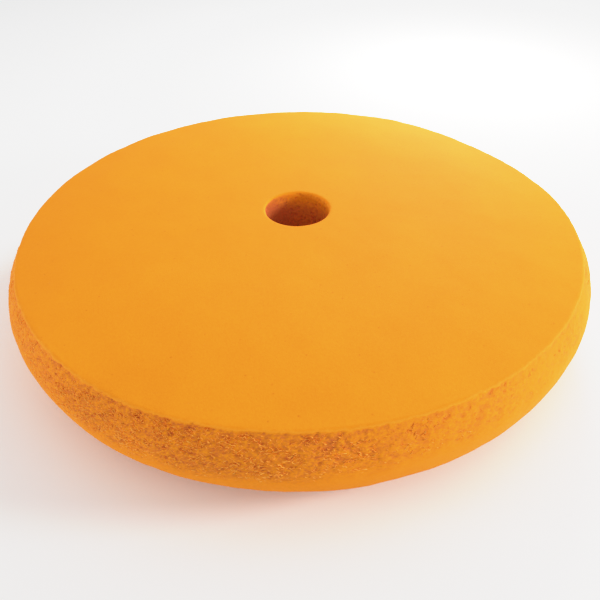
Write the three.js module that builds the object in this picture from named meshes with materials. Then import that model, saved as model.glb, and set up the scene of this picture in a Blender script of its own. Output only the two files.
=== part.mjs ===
// Foam polishing pad with a punched centre hole and a hook-and-loop backing.
// Millimetres, +Z out of the working face. The origin is the centre of the underside,
// where the loop pile meets the backing plate.

import * as THREE from 'three';

// Discs and hole
const PAD_RADIUS = 80; // the widest line round the foam's side
const FOAM_BACK_RADIUS = 69.5; // the flat back of the foam
const BACKING_RADIUS = 68; // film, fabric and pile are cut to one disc
const HOLE_RADIUS = 9.2; // punched through every layer
const HOLE_LIP = 0.6; // rounding where the hole meets the working face

// Layers, from the backing plate up
const PILE_THICKNESS = 0.9;
const FABRIC_THICKNESS = 0.4;
const FILM_THICKNESS = 0.2;
const FOAM_THICKNESS = 24.5;

// The working face is flat in the middle and falls gently towards the rim
const FLAT_FACE_RADIUS = 48;
const FALL_RADIUS = 70; // the fall reaches its full slope here
const FALL_ANGLE = THREE.MathUtils.degToRad(5);

// The side: a rounded rim above, a bulge out to the widest line, a belly tucked in below
const RIM_CENTRE_RADIUS = 75.2;
const RIM_ROUNDING = 1.2;
const SIDE_LEAN = THREE.MathUtils.degToRad(39); // from upright, where the rim meets the bulge

// Facets
const TURNS = 96; // steps round the pad's axis
const FALL_STEPS = 4;
const RIM_STEPS = 4;
const BULGE_STEPS = 4;
const BELLY_STEPS = 8;
const LIP_STEPS = 3;

// Heights of the faces between the layers
const PILE_TOP = PILE_THICKNESS;
const FABRIC_TOP = PILE_TOP + FABRIC_THICKNESS;
const FOAM_BACK = FABRIC_TOP + FILM_THICKNESS;
const FACE_HEIGHT = FOAM_BACK + FOAM_THICKNESS;

const QUARTER_TURN = Math.PI / 2;

function material(color, roughness) {
  return new THREE.MeshStandardMaterial({ color, roughness, metalness: 0 });
}

// Points on an ellipse about (radius, height), from one angle to another, both ends included.
function arc(radius, height, acrossAxis, upAxis, from, to, steps) {
  const points = [];
  for (let i = 0; i <= steps; i += 1) {
    const angle = from + ((to - from) * i) / steps;
    const r = radius + acrossAxis * Math.cos(angle);
    const z = height + upAxis * Math.sin(angle);
    points.push(new THREE.Vector2(r, z));
  }
  return points;
}

// Turns a section round the pad's axis. The section is a list of (radius, height) points that
// runs anticlockwise, and closes on itself here.
function ring(section) {
  const geometry = new THREE.LatheGeometry([...section, section[0].clone()], TURNS);
  geometry.rotateX(QUARTER_TURN); // the lathe's axis is Y, and the pad's is Z
  return geometry;
}

function flatRing(outerRadius, bottom, top) {
  return ring([
    new THREE.Vector2(HOLE_RADIUS, bottom),
    new THREE.Vector2(outerRadius, bottom),
    new THREE.Vector2(outerRadius, top),
    new THREE.Vector2(HOLE_RADIUS, top),
  ]);
}

// How far below the flat of the face the sloping part lies at a radius past FALL_RADIUS.
function fallDepth(radius) {
  const bendDepth = (FALL_RADIUS - FLAT_FACE_RADIUS) * Math.tan(FALL_ANGLE / 2);
  return bendDepth + (radius - FALL_RADIUS) * Math.tan(FALL_ANGLE);
}

// The height of the rim rounding's centre, set so that the slope of the face runs into it.
function rimCentreHeight() {
  const tangentRadius = RIM_CENTRE_RADIUS + RIM_ROUNDING * Math.sin(FALL_ANGLE);
  return FACE_HEIGHT - fallDepth(tangentRadius) - RIM_ROUNDING * Math.cos(FALL_ANGLE);
}

// The rim: from the lean of the side over to the slope of the face, tangent to both.
function rimPoints() {
  const height = rimCentreHeight();
  const to = QUARTER_TURN - FALL_ANGLE;
  return arc(RIM_CENTRE_RADIUS, height, RIM_ROUNDING, RIM_ROUNDING, SIDE_LEAN, to, RIM_STEPS);
}

// The bulge is a parabola from the widest line, where it is upright, in and up to the rim.
function bulgeEnds() {
  const rimRadius = RIM_CENTRE_RADIUS + RIM_ROUNDING * Math.cos(SIDE_LEAN);
  const rimHeight = rimCentreHeight() + RIM_ROUNDING * Math.sin(SIDE_LEAN);
  const width = PAD_RADIUS - rimRadius;
  const height = (2 * width) / Math.tan(SIDE_LEAN);
  return { width, height, widestHeight: rimHeight - height };
}

function bulgePoints() {
  const { width, height, widestHeight } = bulgeEnds();
  const points = [];
  for (let i = 1; i < BULGE_STEPS; i += 1) {
    const share = i / BULGE_STEPS;
    const r = PAD_RADIUS - width * share * share;
    points.push(new THREE.Vector2(r, widestHeight + height * share));
  }
  return points;
}

// The belly: from the flat back out and up to the widest line.
function bellyPoints() {
  const width = PAD_RADIUS - FOAM_BACK_RADIUS;
  const top = bulgeEnds().widestHeight;
  return arc(FOAM_BACK_RADIUS, top, width, top - FOAM_BACK, -QUARTER_TURN, 0, BELLY_STEPS);
}

// The bend of the face from its slope to its flat middle.
function fallPoints() {
  const bend = (FALL_RADIUS - FLAT_FACE_RADIUS) / Math.sin(FALL_ANGLE);
  const from = QUARTER_TURN - FALL_ANGLE;
  return arc(FLAT_FACE_RADIUS, FACE_HEIGHT - bend, bend, bend, from, QUARTER_TURN, FALL_STEPS);
}

// The hole's rounded edge at the working face.
function lipPoints() {
  const centreRadius = HOLE_RADIUS + HOLE_LIP;
  const centreHeight = FACE_HEIGHT - HOLE_LIP;
  return arc(centreRadius, centreHeight, HOLE_LIP, HOLE_LIP, QUARTER_TURN, Math.PI, LIP_STEPS);
}

function foamBody() {
  const holeAtBack = new THREE.Vector2(HOLE_RADIUS, FOAM_BACK);
  const side = [...bellyPoints(), ...bulgePoints(), ...rimPoints()];
  const face = [...fallPoints(), ...lipPoints()];
  const geometry = ring([holeAtBack, ...side, ...face]);
  const mesh = new THREE.Mesh(geometry, material(0xf0982c, 0.95));
  mesh.name = 'foam_body';
  return mesh;
}

// Hot-melt film that bonds the foam to the knitted fabric.
function adhesiveFilm() {
  const geometry = flatRing(BACKING_RADIUS, FABRIC_TOP, FOAM_BACK);
  const mesh = new THREE.Mesh(geometry, material(0xd8c9a0, 0.45));
  mesh.name = 'adhesive_film';
  return mesh;
}

// The knitted ground that holds the roots of the loops.
function backingFabric() {
  const geometry = flatRing(BACKING_RADIUS, PILE_TOP, FABRIC_TOP);
  const mesh = new THREE.Mesh(geometry, material(0xd9d6cf, 0.9));
  mesh.name = 'backing_fabric';
  return mesh;
}

// The brushed loops that the hooks of a backing plate grip.
function loopPile() {
  const geometry = flatRing(BACKING_RADIUS, 0, PILE_TOP);
  const mesh = new THREE.Mesh(geometry, material(0xe9e7e1, 0.95));
  mesh.name = 'loop_pile';
  return mesh;
}

const pad = new THREE.Group();
pad.add(foamBody(), adhesiveFilm(), backingFabric(), loopPile());

export default pad;
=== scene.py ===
"""A foam polishing pad: the looks of its foam and its loop backing, built round the CAD frame."""

import math
import random

import bpy
import numpy as np
from mathutils import Matrix, Vector, noise


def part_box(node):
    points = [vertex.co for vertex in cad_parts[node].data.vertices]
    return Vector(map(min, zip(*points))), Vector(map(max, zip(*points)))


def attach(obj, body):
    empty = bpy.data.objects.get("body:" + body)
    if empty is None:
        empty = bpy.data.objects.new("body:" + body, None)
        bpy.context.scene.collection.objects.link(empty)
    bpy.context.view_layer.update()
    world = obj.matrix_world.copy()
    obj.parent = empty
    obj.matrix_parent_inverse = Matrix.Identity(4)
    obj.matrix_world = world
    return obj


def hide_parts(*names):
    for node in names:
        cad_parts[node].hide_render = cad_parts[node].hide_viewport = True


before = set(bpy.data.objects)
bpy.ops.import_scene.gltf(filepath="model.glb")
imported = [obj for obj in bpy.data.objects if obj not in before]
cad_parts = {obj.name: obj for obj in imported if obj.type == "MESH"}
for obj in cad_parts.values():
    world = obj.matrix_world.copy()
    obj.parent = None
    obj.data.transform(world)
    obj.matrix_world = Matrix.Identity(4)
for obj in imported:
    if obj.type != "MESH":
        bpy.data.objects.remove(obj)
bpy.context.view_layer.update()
noise.seed_set(3)  # noise_vector starts from the seed, so each run gives the same cells

MM = 0.001
QUARTER_TURN = math.pi / 2
TURN = 2 * math.pi
UP = Vector((0, 0, 1))

# ---------------------------------------------------------------- sizes, in millimetres

TOLERANCE = 0.01
foam_low, foam_high = (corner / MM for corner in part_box("foam_body"))
PAD_RADIUS = foam_high.x
FOAM_BACK = foam_low.z
FACE_HEIGHT = foam_high.z
BACKING_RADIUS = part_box("loop_pile")[1].x / MM
PILE_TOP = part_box("loop_pile")[1].z / MM
FABRIC_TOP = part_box("backing_fabric")[1].z / MM
FOAM_POINTS = [vertex.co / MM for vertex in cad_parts["foam_body"].data.vertices]
HOLE_RADIUS = min(math.hypot(p.x, p.y) for p in FOAM_POINTS)
FOAM_BACK_RADIUS = max(math.hypot(p.x, p.y) for p in FOAM_POINTS if p.z < FOAM_BACK + TOLERANCE)

FLAT_FACE_RADIUS = 48.0
FALL_RADIUS = 70.0  # the face's fall towards the rim reaches its full slope here
FALL_ANGLE = math.radians(5)
RIM_CENTRE_RADIUS = 75.2
RIM_ROUNDING = 1.2
SIDE_LEAN = math.radians(39)  # from upright, where the rim meets the side
HOLE_LIP = 0.6
SKIN_EDGE = 76.1  # where the smooth skin of the face ends and the torn cells start
SKIN_EDGE_HEIGHT = 22.0  # from here down, the way past the edge is counted downwards too

# ---------------------------------------------------------------- camera

CAMERA_DISTANCE = 159.4  # from the pad's axis at the rim's height
CAMERA_ELEVATION = math.radians(31.12)
CAMERA_ROLL = math.radians(-0.72)
CAMERA_AIM = (0.3, -39.0, 0)  # from the pad's axis at the rim's height
RIM_DROP = 1.44  # the rim's height below the flat of the face
SENSOR_WIDTH = 36.0
LENS = 32.87


def make_camera():
    """Close to the pad, a little above 30 degrees, aimed at the near half of the face."""
    centre = Vector((0, 0, FACE_HEIGHT - RIM_DROP)) * MM
    way_out = Vector((0, -math.cos(CAMERA_ELEVATION), math.sin(CAMERA_ELEVATION)))
    data = bpy.data.cameras.new("camera")
    data.sensor_width, data.lens = SENSOR_WIDTH, LENS
    data.clip_start, data.clip_end = 0.01, 10
    camera = bpy.data.objects.new("camera", data)
    bpy.context.scene.collection.objects.link(camera)
    camera.location = centre + CAMERA_DISTANCE * MM * way_out
    aim = centre + Vector(CAMERA_AIM) * MM
    look = (aim - camera.location).to_track_quat("-Z", "Y").to_matrix()
    camera.rotation_euler = (look @ Matrix.Rotation(CAMERA_ROLL, 3, "Z")).to_euler()
    bpy.context.scene.camera = camera


# ---------------------------------------------------------------- the foam's section


def arc(radius, height, across, up, start, end, steps):
    """Points (radius, height) on an ellipse, without the last one."""
    angles = [start + (end - start) * i / steps for i in range(steps)]
    return [(radius + across * math.cos(a), height + up * math.sin(a)) for a in angles]


def line(start, end, steps):
    """Points from start towards end, without the last one."""
    return [tuple(a + (b - a) * i / steps for a, b in zip(start, end)) for i in range(steps)]


def fall_depth(radius):
    """How far the slope of the face lies below its flat middle at a radius past FALL_RADIUS."""
    bend_depth = (FALL_RADIUS - FLAT_FACE_RADIUS) * math.tan(FALL_ANGLE / 2)
    return bend_depth + (radius - FALL_RADIUS) * math.tan(FALL_ANGLE)


SLOPE_START = RIM_CENTRE_RADIUS + RIM_ROUNDING * math.sin(FALL_ANGLE)
SLOPE_HEIGHT = FACE_HEIGHT - fall_depth(SLOPE_START)
RIM_CENTRE_HEIGHT = SLOPE_HEIGHT - RIM_ROUNDING * math.cos(FALL_ANGLE)
BULGE_WIDTH = PAD_RADIUS - RIM_CENTRE_RADIUS - RIM_ROUNDING * math.cos(SIDE_LEAN)
BULGE_HEIGHT = 2 * BULGE_WIDTH / math.tan(SIDE_LEAN)
WIDEST_HEIGHT = RIM_CENTRE_HEIGHT + RIM_ROUNDING * math.sin(SIDE_LEAN) - BULGE_HEIGHT


BELLY_SPLIT = -math.radians(38)  # the belly is stepped more finely above this angle
UNDER_STEPS, BELLY_STEPS, BULGE_STEPS, RIM_STEPS = 24, 30, 44, 8


def side_points():
    """The belly, the bulge and the rim, from the flat back up to the slope of the face."""
    belly_across, belly_up = PAD_RADIUS - FOAM_BACK_RADIUS, WIDEST_HEIGHT - FOAM_BACK
    belly = (FOAM_BACK_RADIUS, WIDEST_HEIGHT, belly_across, belly_up)
    points = arc(*belly, -QUARTER_TURN, BELLY_SPLIT, UNDER_STEPS)
    points += arc(*belly, BELLY_SPLIT, 0, BELLY_STEPS)
    for i in range(BULGE_STEPS):
        share = i / BULGE_STEPS
        points.append((PAD_RADIUS - BULGE_WIDTH * share**2, WIDEST_HEIGHT + BULGE_HEIGHT * share))
    rim = (RIM_CENTRE_RADIUS, RIM_CENTRE_HEIGHT, RIM_ROUNDING, RIM_ROUNDING)
    return points + arc(*rim, SIDE_LEAN, QUARTER_TURN - FALL_ANGLE, RIM_STEPS)


BACK_RADII = (HOLE_RADIUS, 20, 40, 62, FOAM_BACK_RADIUS)  # the back's rings
INNER_FACE_RADIUS = 22  # inside this, the face has half as many columns
OUTER_FACE_RADIUS = 73.5  # outside this, the face has as many columns as the side
FULL, HALF, QUARTER, EIGHTH = 1536, 768, 384, 192  # columns round a ring


def foam_rings():
    """Rings (radius, height, columns) from the hole's back corner out, up, in and down again."""
    back = [(radius, FOAM_BACK) for radius in BACK_RADII]
    slope_start = (SLOPE_START, SLOPE_HEIGHT)
    outer_face = (OUTER_FACE_RADIUS, FACE_HEIGHT - fall_depth(OUTER_FACE_RADIUS))
    bend_start = (FALL_RADIUS, FACE_HEIGHT - fall_depth(FALL_RADIUS))
    bend = (FALL_RADIUS - FLAT_FACE_RADIUS) / math.sin(FALL_ANGLE)
    bend_arc = (FLAT_FACE_RADIUS, FACE_HEIGHT - bend, bend, bend, QUARTER_TURN - FALL_ANGLE, QUARTER_TURN)
    inner_face = (INNER_FACE_RADIUS, FACE_HEIGHT)
    lip_radius, lip_height = HOLE_RADIUS + HOLE_LIP, FACE_HEIGHT - HOLE_LIP
    stretches = [
        (line(back[0], back[1], 1), EIGHTH),
        (line(back[1], back[2], 1), QUARTER),
        (line(back[2], back[3], 1), HALF),
        (line(back[3], back[4], 3), FULL),
        (side_points(), FULL),
        (line(slope_start, outer_face, 4), FULL),
        (line(outer_face, bend_start, 3), HALF),
        (arc(*bend_arc, 24), HALF),
        (line((FLAT_FACE_RADIUS, FACE_HEIGHT), inner_face, 22), QUARTER),
        (line(inner_face, (lip_radius, FACE_HEIGHT), 16), EIGHTH),
        (arc(lip_radius, lip_height, HOLE_LIP, HOLE_LIP, QUARTER_TURN, math.pi, 5), EIGHTH),
        (line((HOLE_RADIUS, lip_height), (HOLE_RADIUS, FOAM_BACK), 72), EIGHTH),
    ]
    return [(r, z, count) for points, count in stretches for r, z in points]


def ring_normals(rings):
    """Outward normals (across, up) of the section at each ring."""
    points = np.array([(r, z) for r, z, _ in rings])
    along = np.roll(points, -1, 0) - np.roll(points, 1, 0)
    along /= np.linalg.norm(along, axis=1)[:, None]
    return np.stack([along[:, 1], -along[:, 0]], 1)


def stitch(first, first_count, second, second_count):
    """Faces between two rings of vertices, with equal counts or one twice the other."""
    faces = []
    if first_count == second_count:
        for i in range(first_count):
            j = (i + 1) % first_count
            faces.append((first + i, first + j, second + j, second + i))
    elif first_count == 2 * second_count:
        for i in range(second_count):
            a, b, c = (first + (2 * i + k) % first_count for k in range(3))
            d, e = second + i, second + (i + 1) % second_count
            faces += [(a, b, d), (b, e, d), (b, c, e)]
    else:
        for i in range(first_count):
            a, b, c = (second + (2 * i + k) % second_count for k in range(3))
            d, e = first + i, first + (i + 1) % first_count
            faces += [(d, b, a), (d, e, b), (e, c, b)]
    return faces


# ---------------------------------------------------------------- torn cells


def smooth(low, high, x):
    """0 below low, 1 above high, with a smooth rise between."""
    t = min(1.0, max(0.0, (x - low) / (high - low)))
    return t * t * (3 - 2 * t)


class Cells:
    """The foam's cells: closed rooms with thin walls, squash times as wide as they are high."""

    def __init__(self, size, squash, shift):
        self.size, self.squash, self.shift = size, squash, shift

    def into(self, p):
        """The point p in the space where each cell is about one across, bent a little."""
        q = Vector((p.x, p.y, p.z * self.squash)) / self.size + Vector((self.shift, 0, 0))
        return q + 0.35 * noise.noise_vector(q * 1.7)

    def depth(self, p):
        """How far the opened cell at p falls below the surface, from 0 on a wall to 1."""
        distances, centres = noise.voronoi(self.into(p))
        floor = 0.55 + 0.45 * noise.cell(centres[0] * 31.7)
        return floor * smooth(0.02, 0.42, distances[1] - distances[0])

    def wall(self, p):
        """The nearest wall: the way to it from p and the way across it, both in millimetres."""
        distances, centres = noise.voronoi(self.into(p))
        across = centres[1] - centres[0]
        gap = (distances[1] ** 2 - distances[0] ** 2) / (2 * across.length)
        across.normalize()
        across.z /= self.squash
        return gap * self.size * across, across.normalized()


MAIN_CELLS = Cells(size=1.9, squash=2.7, shift=0)
FINE_CELLS = Cells(size=0.8, squash=1.9, shift=40)
HOLE_CELLS = Cells(size=1.0, squash=1.0, shift=80)
FRONT, BACK = (251, 43), (105, 60)  # where the side is torn most: direction and width in degrees
HOLE_LEFT = (165, 50)  # where painted shade darkens the hole's wall most, in the same way


def over_rim(p):
    """How far past the edge of the skin p lies, in millimetres."""
    ragged = 0.25 * noise.fractal(p * 0.5, 1.0, 2.0, 3) + 0.14 * noise.noise(p * 1.9)
    down = max(0.0, SKIN_EDGE_HEIGHT - p.z)
    return math.hypot(p.x, p.y) + down - SKIN_EDGE - ragged


def near_angle(p, degrees, width):
    """1 in one direction from the axis, falling off smoothly over the width in degrees."""
    away = (math.degrees(math.atan2(p.y, p.x)) - degrees + 180) % 360 - 180
    return math.exp(-((away / width) ** 2))


def roughness(p):
    """About 1 where the side's cells are torn open, 0 on the pressed skin of the face."""
    front, back = near_angle(p, *FRONT), near_angle(p, *BACK)
    torn = 0.22 + 0.72 * front + 0.45 * back + 0.18 * noise.noise(p * 0.09)
    low = 18.3 - 4.0 * max(front, back) + 1.6 * noise.noise(p * 0.12)
    share = 0.1 + 0.9 * smooth(low - 3.0, low + 3.2, p.z)
    return max(0.05, torn) * smooth(-0.1, 0.2, over_rim(p)) * share


def sunk(p):
    """How far the side lies below its smooth section, apart from the pits."""
    return smooth(-0.1, 0.6, over_rim(p)) * (0.1 + 0.28 * smooth(18, 12, p.z))


def side_offset(p):
    """The side's offset along its normal, a painted shade from -1 in a pit to a painted highlight of 1 on
    an edge, and roughness.
    """
    rough = roughness(p)
    past = over_rim(p)
    lip = math.exp(-(((past + 0.15) / 0.22) ** 2))
    pit = 0.55 * MAIN_CELLS.depth(p) + 0.45 * FINE_CELLS.depth(p)
    hollow = smooth(-0.1, 0.4, noise.noise(Vector((p.x, p.y, 1.8 * p.z)) * 0.5))
    # Painted highlight: a thin lighter line along the lip at the skin's edge, and the side past the edge
    # painted a little lighter.
    light = 0.17 * lip + 0.06 * smooth(0.0, 1.0, past)
    # Painted shade: the torn side darker where it is rough, most in the pits and hollows; it follows the
    # roughness, so it is strongest at the front and fades towards the bottom.
    painted_dark = rough * (0.24 + 0.6 * pit + 0.3 * hollow)
    return 0.06 * lip - rough * (0.5 * pit + 0.15 * hollow) - sunk(p), light - painted_dark, rough


def hole_offset(p):
    """The same three values for the hole's wall, with painted shade that deepens further down, at the
    left and in the pits.
    """
    pit = 0.6 * HOLE_CELLS.depth(p)
    painted_dark = 0.85 * smooth(0.3, 7.0, FACE_HEIGHT - p.z) + near_angle(p, *HOLE_LEFT)
    return 0.1 - 0.45 * pit, 0.2 - painted_dark - 0.7 * pit, 0.3


def foam_offset(p, in_hole, on_back):
    """The same three values for any point of the foam."""
    if on_back:
        return 0.0, 0.0, 0.0
    if in_hole:
        return hole_offset(p)
    lumps = 0.15 * noise.fractal(p * 0.11, 1.0, 2.0, 3)
    if math.hypot(p.x, p.y) < RIM_CENTRE_RADIUS and p.z > WIDEST_HEIGHT:
        return 0.5 * lumps, 0.0, 0.0
    offset, shade, rough = side_offset(p)
    return lumps + offset, shade, rough


# Where the outline leaves the circle: by how much in millimetres, direction and width in degrees
DENTS = ((2.1, 34, 18), (0.35, 180, 20))
SWELLS = ((0.75, -10, 20), (0.2, -35, 14), (0.5, 245, 13))


def out_of_round(p):
    """A soft pad is never quite round, so p moves in at the dents and out at the swells."""
    dents = sum(depth * near_angle(p, *where) for depth, *where in DENTS)
    swells = sum(height * near_angle(p, *where) for height, *where in SWELLS)
    share = (swells - dents) * (math.hypot(p.x, p.y) / PAD_RADIUS) ** 3 / PAD_RADIUS
    return p + Vector((p.x, p.y, 0)) * share * smooth(FOAM_BACK, WIDEST_HEIGHT, p.z)


# ---------------------------------------------------------------- meshes


def new_object(name, points, faces, smoothed=True, **values):
    """An object from points in millimetres, with any named values at its points."""
    mesh = bpy.data.meshes.new(name)
    mesh.from_pydata([tuple(p * MM) for p in points], [], faces)
    mesh.polygons.foreach_set("use_smooth", [smoothed] * len(mesh.polygons))
    for value, numbers in values.items():
        mesh.attributes.new(value, "FLOAT", "POINT").data.foreach_set("value", numbers)
    thing = bpy.data.objects.new(name, mesh)
    bpy.context.scene.collection.objects.link(thing)
    print(name, "triangles", sum(len(face) - 2 for face in faces))
    return thing


def make_foam():
    """The whole foam body as one closed mesh, with its painted shade and light and its roughness at each
    point.
    """
    rings = foam_rings()
    points, shades, torn, faces, starts = [], [], [], [], []
    for (radius, height, count), (across, up) in zip(rings, ring_normals(rings)):
        starts.append(len(points))
        on_back = height <= FOAM_BACK + TOLERANCE
        in_hole = radius <= HOLE_RADIUS + TOLERANCE and not on_back
        for i in range(count):
            angle = TURN * i / count
            out = Vector((math.cos(angle), math.sin(angle), 0))
            p = out * radius + UP * height
            offset, shade, rough = foam_offset(p, in_hole, on_back)
            points.append(out_of_round(p) + offset * (out * across + UP * up))
            shades.append(shade)
            torn.append(rough)
    for i in range(len(rings)):
        j = (i + 1) % len(rings)
        faces += stitch(starts[i], rings[i][2], starts[j], rings[j][2])
    return new_object("foam", points, faces, shade=shades, torn=torn)


def side_place(angle, share, section):
    """A point on the plain side and its normal, share of the way up the section."""
    at = share * (len(section) - 2)
    k = int(at)
    (r0, z0), (r1, z1) = section[k], section[k + 1]
    out = Vector((math.cos(angle), math.sin(angle), 0))
    p = out * (r0 + (r1 - r0) * (at - k)) + UP * (z0 + (z1 - z0) * (at - k))
    normal = out * (z1 - z0) - UP * (r1 - r0)
    return p, normal.normalized()


def shred_line(p, normal, steps, step):
    """Points along the nearest cell wall from p, kept in the plane across the normal."""
    places, ahead = [], None
    for _ in range(steps):
        towards, across = FINE_CELLS.wall(p)
        towards -= normal * towards.dot(normal)
        p = p + towards * min(1.0, 0.3 / max(towards.length, 0.001))
        places.append(p)
        along = normal.cross(across).normalized()
        if ahead and along.dot(ahead) < 0:
            along = -along
        ahead = along if ahead is None else (ahead + along).normalized()
        p = p + ahead * step
    return places


SHRED_TRIES = 56000
SHRED_REACH = (0.45, 0.97)  # the stretch of the side's section that has them
SHRED_TAPER = (0.25, 0.85, 1.0, 0.8, 0.2)  # height from end to end, as a share
SHRED_HALF_WIDTH = 0.07
ROOT_DEPTH = 0.35  # how far the roots go into the foam
TIP_DEPTH = 0.1  # how far the tips are set back
SHRED_CLEARANCE = 0.3  # how far past the edge of the skin they start
# Painted light: the shreds are lighter than the foam round them, most at the tips, standing in for light
# through and on the thin walls.
ROOT_PAINTED_LIGHT, TIP_PAINTED_LIGHT = 0.4, 0.85


def make_shreds():
    """Thin torn edges of cell walls, which lie along the side and curl up a little, in painted light
    paler towards their tips.
    """
    rng = random.Random(5)
    section = side_points()
    points, shades, faces = [], [], []
    for _ in range(SHRED_TRIES):
        p, normal = side_place(rng.uniform(0, TURN), rng.uniform(*SHRED_REACH), section)
        if roughness(p) < rng.uniform(0.25, 1.0) or over_rim(p) < SHRED_CLEARANCE:
            continue
        walked = shred_line(p, normal, len(SHRED_TAPER), rng.uniform(0.11, 0.26))
        span = walked[-1] - walked[0]
        steep = abs(span.z) > 0.65 * span.length
        if steep or min(map(over_rim, walked)) < SHRED_CLEARANCE:
            continue
        places = [out_of_round(place) - normal * sunk(place) for place in walked]
        curl = rng.uniform(-0.7, 0.7)
        height = rng.uniform(0.08, 0.22)
        for k, (place, taper) in enumerate(zip(places, SHRED_TAPER)):
            ahead = places[min(k + 1, len(places) - 1)] - places[max(k - 1, 0)]
            aside = normal.cross(ahead).normalized()
            root = place - normal * ROOT_DEPTH
            tip = place + normal * (height * taper - TIP_DEPTH) + aside * curl * height * taper
            base = len(points)
            points += [root - aside * SHRED_HALF_WIDTH, root + aside * SHRED_HALF_WIDTH, tip]
            shades += [ROOT_PAINTED_LIGHT, ROOT_PAINTED_LIGHT, TIP_PAINTED_LIGHT]
            if k:
                for side in range(3):
                    a, b = base - 3 + side, base - 3 + (side + 1) % 3
                    faces += [(a, b, b + 3, a + 3)]
            else:
                faces.append((base, base + 2, base + 1))
        faces.append((base, base + 1, base + 2))
    return new_object("torn_edges", points, faces, smoothed=False, shade=shades)


# ---------------------------------------------------------------- the backing


RING_COLUMNS = 480
LAYER_GAP = 0.01  # the film stays this far inside its layer, and the fabric twice as far
FILM_BEAD = 0.1
FILM_MIDDLE = 38
FILM_WANDER, FABRIC_WANDER = 0.12, 0.08
FABRIC_RADII = (HOLE_RADIUS, 24, 46, BACKING_RADIUS)
STITCH_LENGTH, ROW_GAP, STITCH_ZIGZAG, STITCH_RADIUS = 0.9, 1.9, 0.2, 0.14
STITCH_MARGIN = 0.5  # the rows end this far inside the cut edges
LOOPS = 5600
LOOP_MARGIN = 0.7
THREAD_SIDES = 3


def closed_ring(section, columns, wander):
    """A section (radius, height) turned about the axis, its edges wandering a little."""
    points, faces = [], []
    for radius, height in section:
        for i in range(columns):
            out = Vector((math.cos(TURN * i / columns), math.sin(TURN * i / columns), 0))
            p = out * radius + UP * height
            points.append(p + out * wander * noise.fractal(p * 0.35, 1.0, 2.0, 3))
    for i in range(len(section)):
        faces += stitch(i * columns, columns, (i + 1) % len(section) * columns, columns)
    return points, faces


def make_film():
    """Hot-melt film, squeezed out into a small bead at both edges."""
    low, high = FABRIC_TOP + LAYER_GAP, FOAM_BACK - LAYER_GAP
    middle = (low + high) / 2
    outer, bead = BACKING_RADIUS - FILM_BEAD, BACKING_RADIUS + FILM_BEAD
    section = [(HOLE_RADIUS, low), (FILM_MIDDLE, low), (outer, low), (bead, middle)]
    section += [(outer, high), (FILM_MIDDLE, high), (HOLE_RADIUS, high)]
    section.append((HOLE_RADIUS - 1.5 * FILM_BEAD, middle))
    return new_object("film", *closed_ring(section, RING_COLUMNS, FILM_WANDER))


def tube(places, radius, sides, points, faces):
    """Adds a thin tube along the places, closed at both ends."""
    base = len(points)
    last = len(places) - 1
    for k, place in enumerate(places):
        ahead = (places[min(k + 1, last)] - places[max(k - 1, 0)]).normalized()
        aside = ahead.cross(UP if abs(ahead.z) < 0.9 else Vector((1, 0, 0))).normalized()
        above = aside.cross(ahead)
        for i in range(sides):
            turn = TURN * i / sides
            points.append(place + radius * (math.cos(turn) * aside + math.sin(turn) * above))
    for k in range(last):
        faces += stitch(base + k * sides, sides, base + (k + 1) * sides, sides)
    faces.append(tuple(base + i for i in reversed(range(sides))))
    faces.append(tuple(base + last * sides + i for i in range(sides)))


def chord(y, radius):
    """Half the length of a circle's chord at a distance y from its centre."""
    return math.sqrt(max(0.0, radius**2 - y**2))


def make_fabric():
    """The knitted ground: a cloth disc with rows of chain stitch standing out below it."""
    low, high = PILE_TOP + 2 * LAYER_GAP, FABRIC_TOP - 2 * LAYER_GAP
    section = [(radius, low) for radius in FABRIC_RADII]
    section += [(radius, high) for radius in reversed(FABRIC_RADII)]
    points, faces = closed_ring(section, RING_COLUMNS, FABRIC_WANDER)
    rows = int(BACKING_RADIUS / ROW_GAP)
    for row in range(-rows, rows + 1):
        y = row * ROW_GAP
        outer = chord(y, BACKING_RADIUS - STITCH_MARGIN)
        inner = chord(y, HOLE_RADIUS + STITCH_MARGIN)
        spans = [(-outer, -inner), (inner, outer)] if inner else [(-outer, outer)]
        for start, end in spans:
            count = int((end - start) / STITCH_LENGTH)
            if count < 2:
                continue
            places = []
            for k in range(count + 1):
                x = start + (end - start) * k / count
                places.append(Vector((x, y + STITCH_ZIGZAG * (-1) ** k, low)))
            tube(places, STITCH_RADIUS, THREAD_SIDES, points, faces)
    return new_object("knit_fabric", points, faces)


def make_loops():
    """Fine loops of nylon, brushed over to one side, for the hooks of the backing plate."""
    rng = random.Random(9)
    points, faces = [], []
    made = 0
    while made < LOOPS:
        x = rng.uniform(-BACKING_RADIUS, BACKING_RADIUS)
        y = rng.uniform(-BACKING_RADIUS, BACKING_RADIUS)
        if not HOLE_RADIUS + LOOP_MARGIN < math.hypot(x, y) < BACKING_RADIUS - LOOP_MARGIN:
            continue
        made += 1
        turn = rng.gauss(0.4, 0.9)
        along = Vector((math.cos(turn), math.sin(turn), 0))
        aside = Vector((-along.y, along.x, 0))
        half = rng.uniform(0.4, 0.75)
        drop = rng.uniform(0.55, 0.84)
        lean = rng.uniform(-0.5, 0.9)
        places = []
        for k in range(5):
            swing = math.pi * k / 4
            fall = drop * math.sin(swing)
            flat = Vector((x, y, PILE_TOP - fall)) - along * half * math.cos(swing)
            places.append(flat + (aside * lean + along * 0.3) * fall)
        tube(places, rng.uniform(0.05, 0.075), THREAD_SIDES, points, faces)
    return new_object("loops", points, faces)


# ---------------------------------------------------------------- materials


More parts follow.
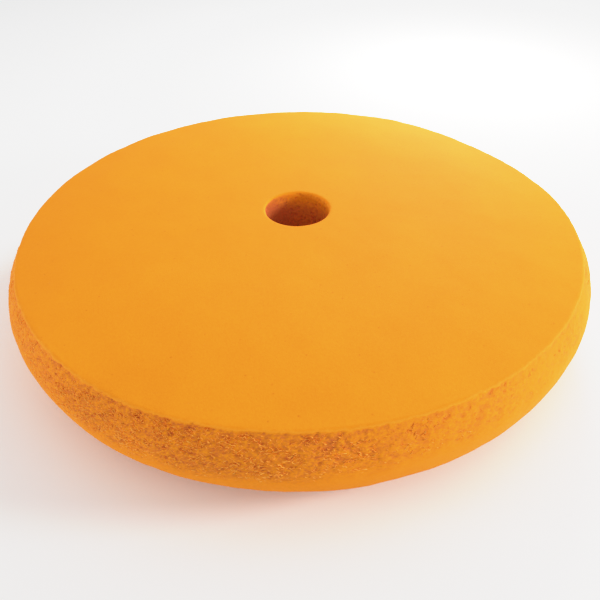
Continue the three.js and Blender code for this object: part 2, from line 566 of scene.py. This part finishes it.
class Nodes:
    """A new material's node tree, with short calls for the nodes that the looks use."""

    def __init__(self, name):
        self.material = bpy.data.materials.new(name)
        self.material.use_nodes = True
        self.tree = self.material.node_tree
        self.shader = self.tree.nodes["Principled BSDF"]
        place = self.add("ShaderNodeTexCoord").outputs["Object"]
        scale = self.add("ShaderNodeVectorMath", operation="SCALE")
        self.tree.links.new(place, scale.inputs[0])
        scale.inputs["Scale"].default_value = 1 / MM
        self.place = scale.outputs[0]

    def add(self, kind, **settings):
        node = self.tree.nodes.new(kind)
        for name, value in settings.items():
            setattr(node, name, value)
        return node

    def put(self, socket, value):
        """Links a socket to the value, or sets it to a plain number or colour."""
        if isinstance(value, bpy.types.NodeSocket):
            self.tree.links.new(value, socket)
        else:
            socket.default_value = value

    def noise(self, scale, detail=2.0, stretch=(1, 1, 1)):
        node = self.add("ShaderNodeTexNoise")
        squeeze = self.add("ShaderNodeVectorMath", operation="MULTIPLY")
        self.put(squeeze.inputs[0], self.place)
        squeeze.inputs[1].default_value = stretch
        self.put(node.inputs["Vector"], squeeze.outputs[0])
        node.inputs["Scale"].default_value = scale
        node.inputs["Detail"].default_value = detail
        return node.outputs["Fac"]

    def cells(self, scale, output="Distance"):
        node = self.add("ShaderNodeTexVoronoi")
        self.put(node.inputs["Vector"], self.place)
        node.inputs["Scale"].default_value = scale
        return node.outputs[output]

    def math(self, operation, a, b):
        node = self.add("ShaderNodeMath", operation=operation)
        self.put(node.inputs[0], a)
        self.put(node.inputs[1], b)
        return node.outputs[0]

    def fit(self, value, low, high, new_low, new_high):
        """The value moved from one range to another, and kept inside it."""
        node = self.add("ShaderNodeMapRange")
        for socket, number in zip(node.inputs, (value, low, high, new_low, new_high)):
            self.put(socket, number)
        return node.outputs["Result"]

    def attribute(self, name):
        return self.add("ShaderNodeAttribute", attribute_name=name).outputs["Fac"]

    def ramp(self, value, stops):
        node = self.add("ShaderNodeValToRGB")
        self.put(node.inputs["Fac"], value)
        while len(node.color_ramp.elements) < len(stops):
            node.color_ramp.elements.new(0.5)
        for element, (position, colour) in zip(node.color_ramp.elements, stops):
            element.position = position
            element.color = (*colour, 1)
        return node.outputs["Color"]

    def tint(self, colour, brightness):
        """The colour times a brightness."""
        node = self.add("ShaderNodeVectorMath", operation="SCALE")
        self.put(node.inputs[0], colour)
        self.put(node.inputs["Scale"], brightness)
        return node.outputs[0]

    def bump(self, height, depth_mm):
        node = self.add("ShaderNodeBump")
        self.put(node.inputs["Height"], height)
        node.inputs["Distance"].default_value = depth_mm * MM
        self.put(self.shader.inputs["Normal"], node.outputs["Normal"])

    def finish(self, colour, roughness, specular):
        self.put(self.shader.inputs["Base Color"], colour)
        self.put(self.shader.inputs["Roughness"], roughness)
        self.shader.inputs["Specular IOR Level"].default_value = specular
        return self.material


PAINTED_SHADE = (0.55, 0.125, 0.032)  # painted shade, down in the pits and the hole
ORANGE = (0.87, 0.28, 0.01)
# painted highlight, on the lip and the torn edges
PAINTED_LIGHT = (0.95, 0.38, 0.035)
PAINTED_EDGE_LIGHT = (1.0, 0.58, 0.12)  # painted light of cell walls thin enough for light to pass through
MELT = (0.72, 0.55, 0.3)
YARN = (0.66, 0.64, 0.6)
NYLON = (0.78, 0.76, 0.72)
FLOOR = (0.93, 0.93, 0.93)


def foam_material():
    """Orange foam: darkened by painted shade and lightened by painted light at its cells, with fine
    pores, faint patches and dark specks.
    """
    nodes = Nodes("orange_foam")
    fine = nodes.fit(nodes.noise(1.7, 3, (1.0, 1.0, 2.0)), 0.3, 0.7, -0.45, 0.45)
    fine = nodes.math("MULTIPLY", fine, nodes.attribute("torn"))
    shade = nodes.fit(nodes.math("ADD", nodes.attribute("shade"), fine), -1, 1, 0, 1)
    # Painted shade turns the foam a deep red-brown, painted light turns it pale; the middle is the foam's
    # own orange.
    colour = nodes.ramp(shade, [(0.0, PAINTED_SHADE), (0.5, ORANGE), (0.75, PAINTED_LIGHT), (1.0, PAINTED_EDGE_LIGHT)])
    patches = nodes.fit(nodes.noise(0.06, 3), 0.3, 0.7, 0.97, 1.03)
    grain = nodes.fit(nodes.noise(1.6, 4), 0.3, 0.7, 0.965, 1.035)
    chosen = nodes.math("GREATER_THAN", nodes.cells(0.4, "Color"), 0.5)
    dot = nodes.math("MULTIPLY", nodes.fit(nodes.cells(0.4), 0.05, 0.12, 1, 0), chosen)
    speck = nodes.fit(dot, 0, 1, 1, 0.82)
    brightness = nodes.math("MULTIPLY", nodes.math("MULTIPLY", patches, grain), speck)
    pores = nodes.fit(nodes.cells(2.4), 0.0, 0.5, 0.0, 1.0)
    relief = nodes.math("ADD", nodes.math("MULTIPLY", pores, 0.5), nodes.noise(4.0, 3))
    nodes.bump(relief, 0.03)
    return nodes.finish(nodes.tint(colour, brightness), 0.85, 0.12)


def film_material():
    """Amber hot-melt film with uneven gloss."""
    nodes = Nodes("hot_melt_film")
    patches = nodes.fit(nodes.noise(0.2, 3), 0.3, 0.7, 0.9, 1.08)
    nodes.bump(nodes.noise(1.2, 3), 0.05)
    roughness = nodes.fit(nodes.noise(0.7), 0.3, 0.7, 0.35, 0.55)
    return nodes.finish(nodes.tint(MELT, patches), roughness, 0.5)


def knit_material():
    """Off-white yarn: fine twisted fibres along the rows, with painted shade between them."""
    nodes = Nodes("knit_ground")
    fibres = nodes.noise(1.6, 4, (1.0, 7.0, 4.0))
    painted_gap_shade = nodes.fit(nodes.cells(1.1), 0.1, 0.6, 1.05, 0.8)
    tone = nodes.math("MULTIPLY", nodes.fit(fibres, 0.3, 0.7, 0.9, 1.06), painted_gap_shade)
    nodes.bump(fibres, 0.06)
    return nodes.finish(nodes.tint(YARN, tone), 0.9, 0.2)


def loop_material():
    """Drawn nylon thread: off-white, a little glossy, each loop slightly different."""
    nodes = Nodes("nylon_loops")
    threads = nodes.noise(5.0, 2, (1.0, 1.0, 3.0))
    patches = nodes.noise(0.5, 2)
    thread_tone = nodes.fit(threads, 0.3, 0.7, 0.93, 1.05)
    patch_tone = nodes.fit(patches, 0.3, 0.7, 0.93, 1.05)
    tone = nodes.math("MULTIPLY", thread_tone, patch_tone)
    nodes.bump(threads, 0.02)
    nodes.shader.inputs["Sheen Weight"].default_value = 0.3
    roughness = nodes.fit(patches, 0.3, 0.7, 0.5, 0.65)
    return nodes.finish(nodes.tint(NYLON, tone), roughness, 0.4)


def floor_material():
    return Nodes("floor").finish((*FLOOR, 1), 0.9, 0.2)


# ---------------------------------------------------------------- light and floor


FLOOR_HALF = 3000


def make_floor():
    ways = ((-1, -1), (1, -1), (1, 1), (-1, 1))
    corners = [Vector((x * FLOOR_HALF, y * FLOOR_HALF, 0)) for x, y in ways]
    floor = new_object("floor", corners, [(0, 1, 2, 3)])
    floor.data.materials.append(floor_material())


SIDE_LIGHT_SIZE = 0.1  # lights are placed in metres
LIGHT_AIM = Vector((0, 0, 0.015))


def side_light(name, place, power):
    """A small disc of light, aimed at the pad."""
    data = bpy.data.lights.new(name, "AREA")
    data.shape, data.size, data.energy = "DISK", SIDE_LIGHT_SIZE, power
    light = bpy.data.objects.new(name, data)
    light.visible_camera = False
    bpy.context.scene.collection.objects.link(light)
    light.location = place
    light.rotation_euler = (LIGHT_AIM - light.location).to_track_quat("-Z", "Y").to_euler()


def make_light():
    """A pale sky, a light at each side and a warm key light over the rear right of the pad."""
    world = bpy.data.worlds.new("studio")
    bpy.context.scene.world = world
    world.use_nodes = True
    background = world.node_tree.nodes["Background"]
    background.inputs["Color"].default_value = (1, 1, 1, 1)
    background.inputs["Strength"].default_value = 0.8
    side_light("right", (0.42, -0.08, 0.15), 1.3)
    side_light("left", (-0.5, -0.05, 0.06), 0.7)
    data = bpy.data.lights.new("key", "POINT")
    data.energy, data.shadow_soft_size, data.color = 2.15, 0.05, (1, 0.98, 0.95)
    key = bpy.data.objects.new("key", data)
    key.location = (0.1, 0.2, 0.115)
    bpy.context.scene.collection.objects.link(key)


def compress_highlights():
    """Plain colours up to three quarters, then a soft shoulder, as a camera has."""
    view = bpy.context.scene.view_settings
    view.view_transform = "Standard"
    view.use_curve_mapping = True
    curve = view.curve_mapping
    curve.clip_max_x, curve.clip_max_y = 3.0, 1.0
    tone = curve.curves[3]
    tone.points[0].location = (0, 0)
    tone.points[1].location = (3.0, 1.0)
    for x, y in ((0.4, 0.4), (0.7, 0.7), (0.84, 0.82), (1.05, 0.88), (1.5, 0.91), (2.0, 0.94)):
        tone.points.new(x, y)
    curve.update()


make_camera()
foam = make_foam()
shreds = make_shreds()
orange = foam_material()
for piece in (foam, shreds):
    piece.data.materials.append(orange)
    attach(piece, "root")
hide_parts("foam_body")

film, fabric, loops = make_film(), make_fabric(), make_loops()
backing = (
    (film, "adhesive_film", "adhesive", film_material()),
    (fabric, "backing_fabric", "knit", knit_material()),
    (loops, "loop_pile", "loops", loop_material()),
)
for piece, node, slot, material in backing:
    piece.data.materials.append(material)
    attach(piece, "root")
    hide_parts(node)

make_floor()
make_light()
compress_highlights()
